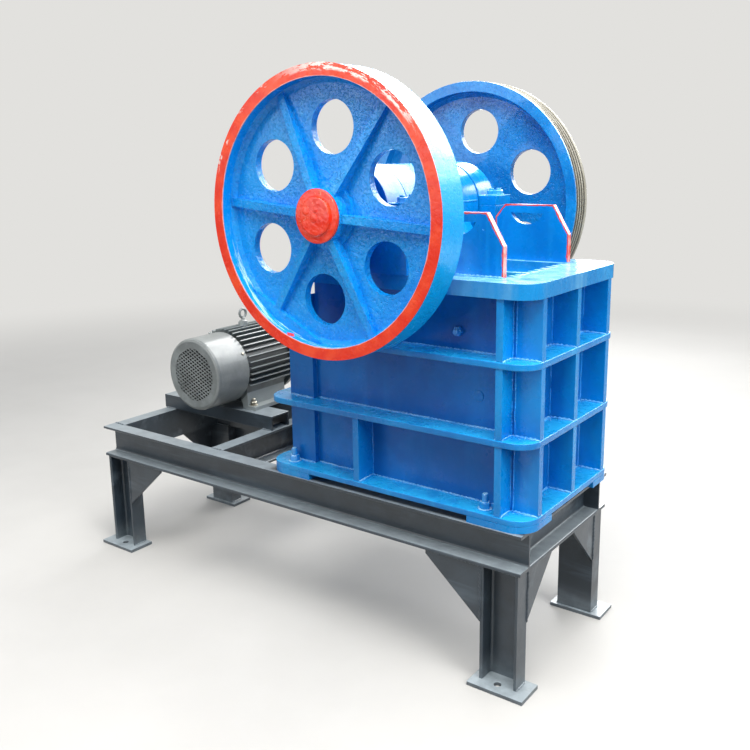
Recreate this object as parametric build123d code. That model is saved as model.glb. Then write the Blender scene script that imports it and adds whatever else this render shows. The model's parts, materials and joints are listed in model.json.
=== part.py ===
from build123d import *
import math
import os

os.makedirs("parts", exist_ok=True)

# Small jaw crusher on its channel-steel stand with the driving motor, in millimetres.
# Origin: centre of the stand on the floor. +X is the crusher's end, -Y the side of the
# plain flywheel, +Z up. The crusher is placed from its front end, back towards -X.

# Stand
stand_length = 1530
stand_width = 508
stand_top = 410
chan_h = 100           # rolled channel 100 x 48
chan_b = 48
chan_web = 5.3
chan_flange = 8.5
chan_root_r = 7
chan_tip_r = 4
cross_from_end = 463   # web of the cross channel from the ring's motor end
leg_inset = 8          # leg behind the end of the ring
leg_tip_inset = 5      # leg behind the flange tips of the long beams
plate_x = 150
plate_y = 86
plate_t = 10
plate_out_x = 23       # plate beyond the ring
plate_out_y = 25
anchor_hole_r = 9
anchor_inset = 7       # anchor hole inside the beam's outer face
gusset_run = 157
gusset_drop = 150
gusset_edge = 12
gusset_t = 8
end_gusset_run = 133
end_gusset_drop = 145

# Motor and its slide rails
rail_w = 83
rail_h = 47
rail_t = 6
rail_length = 514
rail_overhang = 9      # rail past the ring's end
rail_before = 19       # near rail's edge before the motor's frame
rail_pitch = 140
motor_from_end = 280   # motor's axis from the ring's end
motor_height = 133     # motor's axis over its feet
cowl_r = 118
cowl_depth = 135
cowl_t = 3
cowl_round = 10
grille_r = 108
grille_t = 2
frame_r = 108
frame_len = 212
fin_r = 129
fin_t = 3.2
fin_count = 40
foot_half = 135        # foot's outer edge from the axis
foot_w = 57
foot_t = 12
foot_margin = 20       # foot past its bolt
foot_leg_t = 24
eye_from_cowl = 98
eye_boss_r = 16
eye_boss_rise = 9      # boss over the fins
eye_collar_r = 13
eye_collar_t = 4
eye_stem_r = 8
eye_stem = 15
eye_ring_r = 14.5
eye_wire_r = 4.5
shield_r = 122
shield_t = 16
snout_r = 70
snout_len = 24
motor_shaft_r = 19
pulley_gap = 13        # snout's end clear of the pulley
pulley_r = 60
box_out = 80           # terminal box
box_len = 100
box_high = 95
box_from_cowl = 50

# Crusher body
base_overhang = 15     # base past the end of the ring
base_length = 807
body_half = 249        # half width of the base and of both bands
corner_r = 58
pad_t = 16
pad_rear = 151
pad_front = 163
pad_w = 124
base_t = 15
band_t = 16
bay_low = 170          # clear heights of the three bays
bay_mid = 168
bay_top = 143
wall_set = 66          # side walls inside the edge of the flanges
wall_t = 34
front_set = 66         # front wall behind the edge of the flanges
front_t = 30
front_side_set = 52    # ends of the front wall inside the edge of the flanges
block_set = 52         # thick rear end of each side wall, from the rear edge
block_length = 83
block_side_set = 50
rear_t = 30
rib_t = 20
rib_set = 2
side_rib_t = 18
side_rib_set = 3       # rib's edge inside the edge of the flanges
side_rib_front = 74
side_rib_mid = 486
deck_t = 36
deck_set = 135         # deck's rear edge ahead of the base's
deck_past = 2          # deck past the flanges at the sides
deck_tie = 42          # strip of the deck behind the swing jaw
slope_run = 60         # sloped rear shoulder of the side walls
slope_drop = 40

# Cheek plates over the feed mouth
cheek_t = 16
cheek_set = 110        # front edge behind the deck's edge
cheek_length = 211
cheek_knee = 72
cheek_rise = 147
cheek_slope = 44
cheek_nose = 28
cheek_nose_drop = 33
moon_r = 52
moon_from_back = 92
moon_cut = 22

# Jaws and toggle
gape = 152             # feed opening between the jaw plates
outlet = 44
jaw_plate_t = 28
jaw_plate_low = 39     # foot of the fixed plate over the base
jaw_low = 59
jaw_high = 26          # top of the swing plate over the deck's underside
fixed_teeth = 12
swing_teeth = 10
tooth_depth = 7
liner_t = 18
liner_gap = 2
liner_low = 59
liner_back = 120       # liner behind the feed mouth, at its top
liner_high = 6
jaw_side_gap = 4
jaw_back_t = 34
jaw_rib_t = 24
jaw_rib_y = 100
neck_lap = 3           # jaw's body sunk in its barrel
neck_high = 16         # degrees below level
neck_low = 53
neck_back = 135
barrel_r = 115
barrel_gap = 5         # barrel's end clear of the bearing
jaw_seat_depth = 120   # toggle's end behind the foot of the swing plate
seat_length = 60
seat_height = 90
seat_rise = 149        # over the base
seat_side_gap = 6
toggle_t = 20
toggle_rear_rise = 194 # toggle's ends over the base
toggle_front_rise = 161
toggle_side_gap = 20
rod_rise = 79
rod_r = 9
rod_hole_r = 14
lug_height = 32
lug_length = 48
lug_lap = 10
lug_w = 28
spring_r = 24
spring_len = 90
spring_gap = 0.2
rod_end = 10           # rod sunk in the jaw's lug
washer_r = 26
washer_t = 5
nut_r = 16
nut_t = 15
rod_tail = 12

# Crank shaft, bearings and wheels
shaft_from_front = 491
shaft_rise = 142       # over the deck
shaft_r = 35
throw = 8
crank_r = 42
crank_half = 120
run_gap = 0.05         # radial clearance of a running fit
bearing_r = 117
bearing_w = 83
bearing_past = 7       # bearing past the flanges
ear_half = 166
ear_t = 26
wheel_r = 340
rim_t = 29
near_gap = 32          # rim clear of the bearing
near_rim_w = 89
near_web_set = 41
far_gap = 45
far_rim_w = 76
far_web_set = 39
web_t = 20
hub_r = 79
hub_flange_t = 9
hub_gap = 6            # hub's end clear of the bearing
hub_face = 3
neck_r = 64
wheel_bevel = 12
hole_r = 62
hole_circle = 202
hole_count = 6
hole_phase = 25
spoke_w = 20
near_spoke = 32        # spoke's height at the hub
far_spoke = 12
spoke_low = 10
spoke_lap = 3          # spoke sunk in hub and rim
weight_depth = 29      # cast counterweight, a segment at the rim
weight_angle = 242
weight_t = 13
groove_count = 4
groove_pitch = 15
groove_depth = 11
groove_edge = 8
cap_r = 63.5
cap_t = 9
cap_lap = 2
cap_disc_r = 46
cap_disc_t = 3

# Places that follow from the sizes
ring_end = stand_length / 2
base_front = ring_end + base_overhang
base_rear = base_front - base_length
base_z = stand_top + pad_t
body_z = base_z + base_t
band1_z = body_z + bay_low
band2_z = band1_z + band_t + bay_mid
deck_z = band2_z + band_t + bay_top
deck_top = deck_z + deck_t
deck_rear = base_rear + deck_set
front_face = base_front - front_set
front_in = front_face - front_t
cheek_front = base_front - cheek_set
block_rear = base_rear + block_set
block_front = block_rear + block_length
wall_half = body_half - wall_set
front_half = body_half - front_side_set
block_half = body_half - block_side_set
deck_half = body_half + deck_past
cheek_half = wall_half - cheek_t
inner = wall_half - wall_t
bearing_out = body_half + bearing_past
bearing_in = bearing_out - bearing_w
barrel_half = bearing_in - barrel_gap
near_face_y = -(bearing_out + near_gap + near_rim_w)
far_face_y = bearing_out + far_gap + far_rim_w
rim_inner_r = wheel_r - rim_t
rear_in = block_rear + rear_t
shaft_x = base_front - shaft_from_front
shaft_z = deck_top + shaft_rise
rail_top = stand_top + rail_h
motor_x = -ring_end + motor_from_end
motor_z = rail_top + motor_height
shield_y = far_face_y - far_rim_w - pulley_gap - snout_len - shield_t
frame_y = shield_y - frame_len
cowl_front_y = frame_y - cowl_depth
rail_near_y = frame_y - rail_before
rod_z = body_z + rod_rise
jaw_half = inner - liner_t - liner_gap
fixed_half = inner - liner_gap


def solids(*shapes):
    out = []
    for shape in shapes:
        out += list(shape.solids())
    return Compound(children=out) if len(out) > 1 else out[0]


def save(name, *shapes):
    export_step(solids(*shapes), "parts/%s.step" % name)


def box(x0, x1, y0, y1, z0, z1):
    return Pos((x0 + x1) / 2, (y0 + y1) / 2, (z0 + z1) / 2) * Box(abs(x1 - x0), abs(y1 - y0), abs(z1 - z0))


def rodY(x, z, r, y0, y1):
    return Pos(x, (y0 + y1) / 2, z) * Rot(90, 0, 0) * Cylinder(r, abs(y1 - y0))


def rodX(y, z, r, x0, x1):
    return Pos((x0 + x1) / 2, y, z) * Rot(0, 90, 0) * Cylinder(r, abs(x1 - x0))


def rodZ(x, y, r, z0, z1):
    return Pos(x, y, (z0 + z1) / 2) * Cylinder(r, abs(z1 - z0))


def slabXZ(points, y0, y1):
    face = Plane.XZ * make_face(Polyline(*points, close=True))
    return Pos(0, max(y0, y1), 0) * extrude(face, abs(y1 - y0))


def slabYZ(points, x0, x1):
    face = Plane.YZ * make_face(Polyline(*points, close=True))
    return Pos(min(x0, x1), 0, 0) * extrude(face, abs(x1 - x0))


def roundPlate(x0, x1, half, z0, z1, r):
    return Pos((x0 + x1) / 2, 0, z0) * extrude(RectangleRounded(x1 - x0, 2 * half, r), z1 - z0)


def both(make):
    return make(-1), make(1)


# Channel along a direction, its web's back at the origin, its flanges towards the given side
def channel(start, along, flanges, length):
    half = chan_h / 2
    outline = Polyline((0, -half), (chan_b, -half), (chan_b, -half + chan_flange), (chan_web, -half + chan_flange),
                       (chan_web, half - chan_flange), (chan_b, half - chan_flange), (chan_b, half), (0, half),
                       close=True)
    section = make_face(outline)
    inside = half - chan_flange
    section = fillet([v for v in section.vertices() if abs(v.X - chan_web) < 0.01], chan_root_r)
    tips = [v for v in section.vertices() if abs(v.X - chan_b) < 0.01 and abs(abs(v.Y) - inside) < 0.01]
    section = fillet(tips, chan_tip_r)
    return extrude(Plane(origin=start, x_dir=flanges, z_dir=along) * section, length)


# Stand

def standRing():
    mid = stand_top - chan_h / 2
    back = stand_width / 2 - chan_b
    save("stand_beam_near", channel((-ring_end, -back, mid), (1, 0, 0), (0, -1, 0), stand_length))
    save("stand_beam_far", channel((-ring_end, back, mid), (1, 0, 0), (0, 1, 0), stand_length))
    ends = [channel((s * (ring_end - chan_b), -back, mid), (0, 1, 0), (s, 0, 0), 2 * back) for s in (-1, 1)]
    save("stand_end_channels", *ends)
    cross = channel((-ring_end + cross_from_end, -back, mid), (0, 1, 0), (1, 0, 0), 2 * back)
    save("stand_cross_channel", cross)


def gussetPair(sx, sy, under, outer, tip):
    inside = outer - chan_h
    back = tip - chan_b
    side = slabXZ([(sx * inside, under), (sx * (inside - gusset_run), under),
                   (sx * (inside - gusset_run), under - gusset_edge), (sx * inside, under - gusset_drop)],
                  sy * tip, sy * (tip - gusset_t))
    end = slabYZ([(sy * back, under), (sy * (back - end_gusset_run), under),
                  (sy * (back - end_gusset_run), under - gusset_edge), (sy * back, under - end_gusset_drop)],
                 sx * outer, sx * (outer - gusset_t))
    return side, end


def footPlate(sx, sy, outer):
    px = sx * (ring_end + plate_out_x - plate_x / 2)
    py = sy * (stand_width / 2 + plate_out_y - plate_y / 2)
    plate = Pos(px, py, plate_t / 2) * Box(plate_x, plate_y, plate_t)
    hole_y = sy * (stand_width / 2 - anchor_inset)
    return plate - rodZ(sx * (outer - chan_h / 2), hole_y, anchor_hole_r, -1, plate_t + 1)


def standLegs():
    under = stand_top - chan_h
    tip = stand_width / 2 - leg_tip_inset
    outer = ring_end - leg_inset
    gussets = []
    plates = []
    for sx, end in ((-1, "rear"), (1, "front")):
        for sy, side in ((-1, "near"), (1, "far")):
            foot = (sx * (outer - chan_h / 2), sy * (tip - chan_b), plate_t)
            save("leg_%s_%s" % (side, end), channel(foot, (0, 0, 1), (0, sy, 0), under - plate_t))
            gussets += gussetPair(sx, sy, under, outer, tip)
            plates.append(footPlate(sx, sy, outer))
    save("leg_gussets", *gussets)
    save("foot_plates", *plates)


# Motor and its rails

def motorRails():
    x0 = -ring_end - rail_overhang
    x1 = x0 + rail_length
    rails = []
    for y in (rail_near_y, rail_near_y + rail_pitch):
        rail = box(x0, x1, y, y + rail_w, stand_top, rail_top)
        rails.append(rail - box(x0 - 1, x1 + 1, y + rail_t, y + rail_w - rail_t, stand_top - 1, rail_top - rail_t))
    save("motor_rails", *rails)


def motorFoot(s):
    y0 = rail_near_y + rail_w / 2 - foot_margin
    y1 = rail_near_y + rail_pitch + rail_w / 2 + foot_margin
    foot = box(motor_x + s * (foot_half - foot_w), motor_x + s * foot_half, y0, y1, rail_top, rail_top + foot_t)
    low = rail_top + foot_t
    leg = slabXZ([(motor_x + s * (foot_half - foot_w), low),
                  (motor_x + s * (foot_half - foot_w + foot_leg_t), low),
                  (motor_x + s * frame_r * math.cos(math.radians(25)), motor_z - frame_r * math.sin(math.radians(25))),
                  (motor_x + s * frame_r * math.cos(math.radians(55)), motor_z - frame_r * math.sin(math.radians(52)))],
                 y0, y1)
    return foot + leg


def motorFrame():
    body = rodY(motor_x, motor_z, frame_r, frame_y, shield_y)
    fin_high = fin_r - frame_r + foot_margin / 5
    for i in range(fin_count):
        a = 360 * (i + 0.5) / fin_count
        if 205 < a < 335:
            continue
        fin = Pos(fin_r - fin_high / 2, (frame_y + shield_y) / 2, 0) * Box(fin_high, frame_len, fin_t)
        body += Pos(motor_x, 0, motor_z) * Rot(0, -a, 0) * fin
    eye_y = frame_y + eye_from_cowl
    body += rodZ(motor_x, eye_y, eye_boss_r, motor_z + frame_r - 10, motor_z + fin_r + eye_boss_rise)
    for foot in both(motorFoot):
        body += foot
    save("motor_frame", body)


# Lifting eye: a ring on a stem and a collar
def motorEye():
    x = motor_x
    y = frame_y + eye_from_cowl
    z0 = motor_z + fin_r + eye_boss_rise
    z1 = z0 + eye_stem + eye_ring_r
    eye = rodX(y, z1, eye_ring_r + eye_wire_r, x - eye_wire_r, x + eye_wire_r)
    eye += rodZ(x, y, eye_stem_r, z0, z1)
    eye -= rodX(y, z1, eye_ring_r - eye_wire_r, x - eye_collar_r, x + eye_collar_r)
    save("motor_eyebolt", eye + rodZ(x, y, eye_collar_r, z0, z0 + eye_collar_t))


def motorCowl():
    y0 = cowl_front_y
    outline = [(0, 0), (cowl_r - cowl_round, 0), (cowl_r - cowl_round * 0.3, cowl_round * 0.3), (cowl_r, cowl_round),
               (cowl_r, cowl_depth), (0, cowl_depth)]
    cowl = Pos(motor_x, y0, motor_z) * revolve(make_face(Polyline(*outline, close=True)), Axis.Y)
    cowl -= rodY(motor_x, motor_z, cowl_r - cowl_t, y0 + cowl_round, frame_y + 1)
    cowl -= rodY(motor_x, motor_z, grille_r, y0 - 1, y0 + cowl_round)
    save("motor_fan_cowl", cowl)
    guard_y = y0 + cowl_t
    save("motor_fan_guard", rodY(motor_x, motor_z, grille_r, guard_y, guard_y + grille_t))


def motorDrive():
    y1 = shield_y + shield_t
    y2 = y1 + snout_len
    shield = rodY(motor_x, motor_z, shield_r, shield_y, y1) + rodY(motor_x, motor_z, snout_r, y1, y2)
    save("motor_end_shield", shield - rodY(motor_x, motor_z, motor_shaft_r, shield_y - 1, y2 + 1))
    save("motor_shaft", rodY(motor_x, motor_z, motor_shaft_r, shield_y, far_face_y - hub_face))
    rim = grooved([(motor_shaft_r, 0)], pulley_r, far_rim_w, [(motor_shaft_r, far_rim_w)])
    save("motor_pulley", Pos(motor_x, far_face_y, motor_z) * mirror(revolve(rim, Axis.Y), Plane.XZ))
    side = motor_x - fin_r
    y = frame_y + box_from_cowl
    save("motor_terminal_box", box(side - box_out, side + 0.5, y, y + box_len, motor_z - box_high / 2,
                                   motor_z + box_high / 2) - rodY(motor_x, motor_z, fin_r, y - 1, y + box_len + 1))


# Section of a V-belt rim in (radius, distance from its outer face), grooves from that face on
def grooved(before, r, width, after):
    points = list(before) + [(r, 0)]
    for i in range(groove_count):
        a = groove_edge + groove_pitch * i
        points += [(r, a), (r - groove_depth, a + groove_pitch / 2)]
    points += [(r, groove_edge + groove_pitch * groove_count), (r, width)] + list(after)
    return make_face(Polyline(*points, close=True))


# Crusher body

def bodyHollow(z0, z1):
    hollow = box(block_front, front_face, -wall_half, wall_half, z0 - 1, z1 + 1)
    hollow += box(front_in, front_face, -front_half, front_half, z0 - 1, z1 + 1)
    return hollow + box(block_rear, block_front, -block_half, block_half, z0 - 1, z1 + 1)


def bodyBands():
    plate = roundPlate(base_rear, base_front, body_half, base_z, body_z, corner_r)
    save("base_flange", plate - box(rear_in, front_in, -inner, inner, base_z - 1, body_z + 1))
    foot = roundPlate(base_rear, base_front, body_half, stand_top, base_z, corner_r)
    pads = []
    for x0, x1 in ((base_rear, base_rear + pad_rear), (base_front - pad_front, base_front)):
        pads += both(lambda s: foot & box(x0, x1, s * (body_half - pad_w), s * body_half, stand_top, base_z))
    save("base_pads", *pads)
    for name, z in (("lower_band_flange", band1_z), ("upper_band_flange", band2_z)):
        band = roundPlate(base_rear, base_front, body_half, z, z + band_t, corner_r)
        save(name, band - bodyHollow(z, z + band_t))


def deckPlate():
    deck = roundPlate(deck_rear, base_front, deck_half, deck_z, deck_top, corner_r)
    save("deck_plate", deck - box(deck_rear + deck_tie, front_in, -inner, inner, deck_z - 1, deck_top + 1))


def sideWall(s):
    wall = slabXZ([(block_front, body_z), (front_in, body_z), (front_in, deck_z), (deck_rear, deck_z),
                   (block_front, deck_z - slope_drop)], s * wall_half, s * inner)
    block = slabXZ([(block_rear, body_z), (block_front, body_z), (block_front, deck_z - slope_drop),
                    (block_front - slope_run, band2_z + band_t), (block_rear, band2_z + band_t)],
                   s * block_half, s * inner)
    return wall + block


def walls():
    for name, s in (("side_wall_near", -1), ("side_wall_far", 1)):
        save(name, sideWall(s))
    save("front_wall", box(front_in, front_face, -front_half, front_half, body_z, deck_z))
    rear = box(block_rear, rear_in, -inner, inner, body_z, band2_z + band_t)
    save("rear_wall", rear - rodX(0, rod_z, rod_hole_r, block_rear - 1, rear_in + 1))
    z = body_z + seat_rise
    half = inner - seat_side_gap
    save("toggle_seat", box(rear_in, rear_in + seat_length, -half, half, z, z + seat_height))


def ribs():
    front = []
    side = []
    edge = base_front - rib_set
    outer_y = front_half - rib_t / 2
    tip = body_half - side_rib_set
    x = base_front - side_rib_front
    for a, b in ((body_z, band1_z), (band1_z + band_t, band2_z), (band2_z + band_t, deck_z)):
        front += [box(front_face, edge, y - rib_t / 2, y + rib_t / 2, a, b) for y in (-outer_y, 0, outer_y)]
        side += both(lambda s: box(x - side_rib_t, x, s * front_half, s * tip, a, b))
    x = base_front - side_rib_mid
    side += both(lambda s: box(x - side_rib_t, x, s * wall_half, s * tip, body_z, band1_z))
    save("front_ribs", *front)
    save("side_ribs", *side)


def cheek(s):
    x0 = cheek_front - cheek_length
    top = deck_top + cheek_rise
    plate = slabXZ([(x0, deck_top), (cheek_front, deck_top), (cheek_front, deck_top + cheek_knee),
                    (cheek_front - cheek_slope, top), (x0 + cheek_nose, top), (x0, top - cheek_nose_drop)],
                   s * cheek_half, s * (cheek_half + cheek_t))
    x = x0 + moon_from_back
    moon = rodY(x, top, moon_r, s * (cheek_half - 1), s * (cheek_half + cheek_t + 1))
    moon &= box(x - moon_r, x + moon_r, s * (cheek_half - 1), s * (cheek_half + cheek_t + 1),
                top - moon_r, top - moon_cut)
    return plate - moon


def cheeks():
    save("cheek_plates", *both(cheek))


# Crushing chamber, swing jaw and toggle

# Ribbed wear plate: its back on the plane's x axis, its teeth towards the plane's y axis
def toothedPlate(plane, half, teeth, length):
    pitch = 2 * half / teeth
    low = jaw_plate_t - tooth_depth
    points = [(-half, 0), (half, 0)]
    for i in range(teeth):
        x = half - i * pitch
        points += [(x, low), (x - pitch / 2, jaw_plate_t)]
    points.append((-half, low))
    return extrude(plane * make_face(Polyline(*points, close=True)), length)


def jawLine():
    face_x = front_in - jaw_plate_t
    high = Vector(face_x - gape, 0, deck_z + jaw_high)
    low = Vector(face_x - outlet, 0, body_z + jaw_low)
    return high, low


def jawPlates():
    foot = body_z + jaw_plate_low
    fixed = Plane(origin=(front_in, 0, foot), x_dir=(0, 1, 0), z_dir=(0, 0, 1))
    save("fixed_jaw_plate", toothedPlate(fixed, fixed_half, fixed_teeth, deck_top - foot))
    high, low = jawLine()
    down = (low - high).normalized()
    out = down.cross(Vector(0, 1, 0))
    swing = Plane(origin=high - out * jaw_plate_t, x_dir=(0, 1, 0), z_dir=down)
    save("swing_jaw_plate", toothedPlate(swing, jaw_half, swing_teeth, (low - high).length))
    x0 = cheek_front - cheek_length
    x1 = front_in - jaw_plate_t - 1
    z0 = body_z + liner_low
    z1 = deck_z + liner_high
    liner = [(x0 - liner_back / 6, z1), (x1, z1), (x1, z0), (x0 + liner_back, z0)]
    save("side_liners", *both(lambda s: slabXZ(liner, s * (inner - liner_t), s * inner)))


def onBarrel(degrees):
    a = math.radians(degrees)
    r = barrel_r - neck_lap
    return shaft_x + r * math.cos(a), shaft_z - r * math.sin(a)


def swingJaw():
    half = jaw_half - jaw_side_gap
    high, low = jawLine()
    out = (low - high).normalized().cross(Vector(0, 1, 0))
    back_high = high - out * jaw_plate_t
    back_low = low - out * jaw_plate_t
    deep_high = back_high - out * jaw_back_t
    deep_low = back_low - out * jaw_back_t
    seat_x = low.X - jaw_seat_depth
    seat_z = body_z + toggle_front_rise
    jaw = rodY(shaft_x, shaft_z, barrel_r, -barrel_half, barrel_half)
    jaw += slabXZ([onBarrel(neck_low), onBarrel(neck_high), (back_high.X, back_high.Z), (back_low.X, back_low.Z),
                   (deep_low.X, deep_low.Z), (deep_high.X, deep_high.Z)], -half, half)
    rib = [onBarrel(neck_back), onBarrel(neck_low),
           (deep_high.X + 1, deep_high.Z), (deep_low.X + 1, deep_low.Z), (seat_x + lug_height, rod_z - lug_height / 2),
           (seat_x + lug_height / 2, seat_z + lug_height), (shaft_x + barrel_r, (shaft_z + seat_z) / 2)]
    for y in (-jaw_rib_y, 0, jaw_rib_y):
        jaw += slabXZ(rib, y - jaw_rib_t / 2, y + jaw_rib_t / 2)
    jaw += box(seat_x, seat_x + lug_height * 1.5, -half, half, seat_z - lug_height, seat_z + lug_height)
    jaw += box(seat_x - lug_lap, seat_x + lug_length, -lug_w / 2, lug_w / 2, rod_z - lug_height / 2, rod_z + lug_height / 2)
    save("swing_jaw", jaw - rodY(shaft_x, shaft_z, crank_r + throw + run_gap, -barrel_half - 1, barrel_half + 1))


def toggle():
    x0 = rear_in + seat_length
    x1 = jawLine()[1].X - jaw_seat_depth
    z0 = body_z + toggle_rear_rise
    z1 = body_z + toggle_front_rise
    half = jaw_half - toggle_side_gap
    h = toggle_t / 2
    save("toggle_plate", slabXZ([(x0, z0 - h), (x0, z0 + h), (x1, z1 + h), (x1, z1 - h)], -half, half))
    end = block_rear - spring_len
    rod = rodX(0, rod_z, rod_r, end - washer_t - nut_t - rod_tail, x1 - rod_end)
    rod += rodX(0, rod_z, washer_r, end - washer_t, end)
    nut = Pos(end - washer_t, 0, rod_z) * Rot(0, -90, 0) * extrude(RegularPolygon(nut_r, 6), nut_t)
    save("tension_rod", rod + nut)
    spring = rodX(0, rod_z, spring_r, end, block_rear)
    save("tension_spring", spring - rodX(0, rod_z, rod_r + spring_gap, end - 1, block_rear + 1))


# Shaft, bearings and wheels

def bearing(s):
    a = s * bearing_in
    b = s * bearing_out
    drum = rodY(shaft_x, shaft_z, bearing_r, a, b)
    bore = rodY(shaft_x, shaft_z, shaft_r + run_gap, a - s, b + s)
    x0 = shaft_x - ear_half
    x1 = shaft_x + ear_half
    lower = box(x0, x1, a, b, deck_top, shaft_z) - bore
    cap = drum & box(x0, x1, a, b, shaft_z, shaft_z + bearing_r)
    cap += box(x0, x1, a, b, shaft_z, shaft_z + ear_t)
    return lower, cap - bore


def bearings():
    pairs = both(bearing)
    save("bearing_housings", *[pair[0] for pair in pairs])
    save("bearing_caps", *[pair[1] for pair in pairs])


def crankShaft():
    shaft = rodY(shaft_x, shaft_z, shaft_r, near_face_y + cap_lap, far_face_y - cap_lap)
    shaft += rodY(shaft_x + throw, shaft_z, crank_r, -crank_half, crank_half)
    save("eccentric_shaft", shaft)


# Half section of a wheel from its hub to its rim, in (radius, distance from its outer face)
def wheelSection(width, web, hub_in, grooves):
    inside = [(rim_inner_r, width), (rim_inner_r, web + web_t), (hub_r, web + web_t), (hub_r, hub_in),
              (shaft_r, hub_in), (shaft_r, hub_face), (neck_r, hub_face), (neck_r, web - hub_flange_t),
              (hub_r, web - hub_flange_t), (hub_r, web), (rim_inner_r, web), (rim_inner_r, 0)]
    if grooves:
        section = grooved([], wheel_r, width, inside)
    else:
        section = make_face(Polyline(*([(wheel_r, 0), (wheel_r, width)] + inside), close=True))
    corners = [v for v in section.vertices() if abs(v.X - rim_inner_r) < 0.01 and 1 < v.Y < width - 1]
    return chamfer(corners, wheel_bevel)


def wheel(width, web, hub_in, spoke_high, grooves):
    out = revolve(wheelSection(width, web, hub_in, grooves), Axis.Y)
    for i in range(hole_count):
        a = hole_phase + 360 * i / hole_count
        hole = Pos(hole_circle, web + web_t / 2, 0) * Rot(90, 0, 0) * Cylinder(hole_r, web_t + 2)
        out -= Rot(0, -a, 0) * hole
        near_end = neck_r - spoke_lap
        far_end = rim_inner_r + spoke_lap
        spoke = make_face(Polyline((near_end, web), (far_end, web), (far_end, web - spoke_low),
                                   (near_end, web - spoke_high), close=True))
        spoke = Pos(0, 0, -spoke_w / 2) * extrude(spoke, spoke_w)
        out += Rot(0, -(a + 180 / hole_count), 0) * spoke
    return out


def nearWheel():
    hub_in = -bearing_out - hub_gap - near_face_y
    out = wheel(near_rim_w, near_web_set, hub_in, near_spoke, False)
    low = near_web_set - weight_t
    segment = rodY(0, 0, rim_inner_r + 1, low, near_web_set)
    segment &= box(rim_inner_r - weight_depth, rim_inner_r + 2, low, near_web_set, -rim_inner_r, rim_inner_r)
    out += Rot(0, -weight_angle, 0) * segment
    save("flywheel_near", Pos(shaft_x, near_face_y, shaft_z) * out)


def farWheel():
    web = far_rim_w - far_web_set - web_t
    hub_in = far_face_y - bearing_out - hub_gap
    out = mirror(wheel(far_rim_w, web, hub_in, far_spoke, True), Plane.XZ)
    save("flywheel_far", Pos(shaft_x, far_face_y, shaft_z) * out)


def caps():
    out = []
    for s, face in ((-1, near_face_y), (1, far_face_y)):
        cap = rodY(shaft_x, shaft_z, cap_r, face - s * cap_lap, face + s * cap_t)
        out.append(cap + rodY(shaft_x, shaft_z, cap_disc_r, face + s * cap_t, face + s * (cap_t + cap_disc_t)))
    save("shaft_end_caps", *out)


def main():
    standRing()
    standLegs()
    motorRails()
    motorFrame()
    motorEye()
    motorCowl()
    motorDrive()
    bodyBands()
    deckPlate()
    walls()
    ribs()
    cheeks()
    jawPlates()
    swingJaw()
    toggle()
    bearings()
    crankShaft()
    nearWheel()
    farWheel()
    caps()


main()
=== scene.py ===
import bpy
import json
import math
import numpy as np
from mathutils import Matrix, Vector


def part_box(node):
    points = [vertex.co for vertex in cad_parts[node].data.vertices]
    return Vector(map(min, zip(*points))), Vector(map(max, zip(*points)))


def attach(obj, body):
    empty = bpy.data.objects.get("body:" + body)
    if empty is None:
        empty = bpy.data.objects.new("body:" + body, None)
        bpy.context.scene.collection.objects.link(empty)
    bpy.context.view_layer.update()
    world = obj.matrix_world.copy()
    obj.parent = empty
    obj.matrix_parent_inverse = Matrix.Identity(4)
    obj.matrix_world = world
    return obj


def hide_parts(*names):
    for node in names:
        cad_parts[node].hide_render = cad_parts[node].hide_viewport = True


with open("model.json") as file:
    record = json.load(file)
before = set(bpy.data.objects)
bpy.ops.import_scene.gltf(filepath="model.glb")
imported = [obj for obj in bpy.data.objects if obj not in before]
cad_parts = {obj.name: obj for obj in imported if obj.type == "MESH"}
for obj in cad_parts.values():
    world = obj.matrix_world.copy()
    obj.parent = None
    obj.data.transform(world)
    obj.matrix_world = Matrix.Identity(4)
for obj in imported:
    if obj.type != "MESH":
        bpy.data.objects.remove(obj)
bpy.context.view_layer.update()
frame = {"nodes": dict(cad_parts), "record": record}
nodes = frame["nodes"]
print("frame:", len(nodes), "pieces from CAD")


# Shader sums: one socket wrapped, so that masks read like arithmetic
class Wire:
    def __init__(self, maker, socket):
        self.maker = maker
        self.socket = socket

    def calc(self, operation, *values):
        return self.maker.node("ShaderNodeMath", {"operation": operation}, dict(enumerate(values)))[0]

    def __add__(self, other):
        return self.calc("ADD", self, other)

    def __radd__(self, other):
        return self.calc("ADD", other, self)

    def __sub__(self, other):
        return self.calc("SUBTRACT", self, other)

    def __rsub__(self, other):
        return self.calc("SUBTRACT", other, self)

    def __mul__(self, other):
        return self.calc("MULTIPLY", self, other)

    def __rmul__(self, other):
        return self.calc("MULTIPLY", other, self)

    def __truediv__(self, other):
        return self.calc("DIVIDE", self, other)

    def __rtruediv__(self, other):
        return self.calc("DIVIDE", other, self)

    def __pow__(self, other):
        return self.calc("POWER", self, other)

    def __rpow__(self, other):
        return self.calc("POWER", other, self)

    def __abs__(self):
        return self.calc("ABSOLUTE", self)

    def most(self, other):
        return self.calc("MAXIMUM", self, other)

    def least(self, other):
        return self.calc("MINIMUM", self, other)

    def angle(self, level):          # this far up over that far along, as a turn in radians
        return self.calc("ARCTAN2", self, level)

    def rise(self, low, high):       # 0 below low, 1 above high, smooth between
        inputs = {"Value": self, "From Min": low, "From Max": high}
        return self.maker.node("ShaderNodeMapRange", {"interpolation_type": "SMOOTHSTEP"}, inputs)[0]

    def band(self, low, high, fall, end):      # rises from low to high, falls from fall to end
        return self.rise(low, high) * (1 - self.rise(fall, end))


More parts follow.
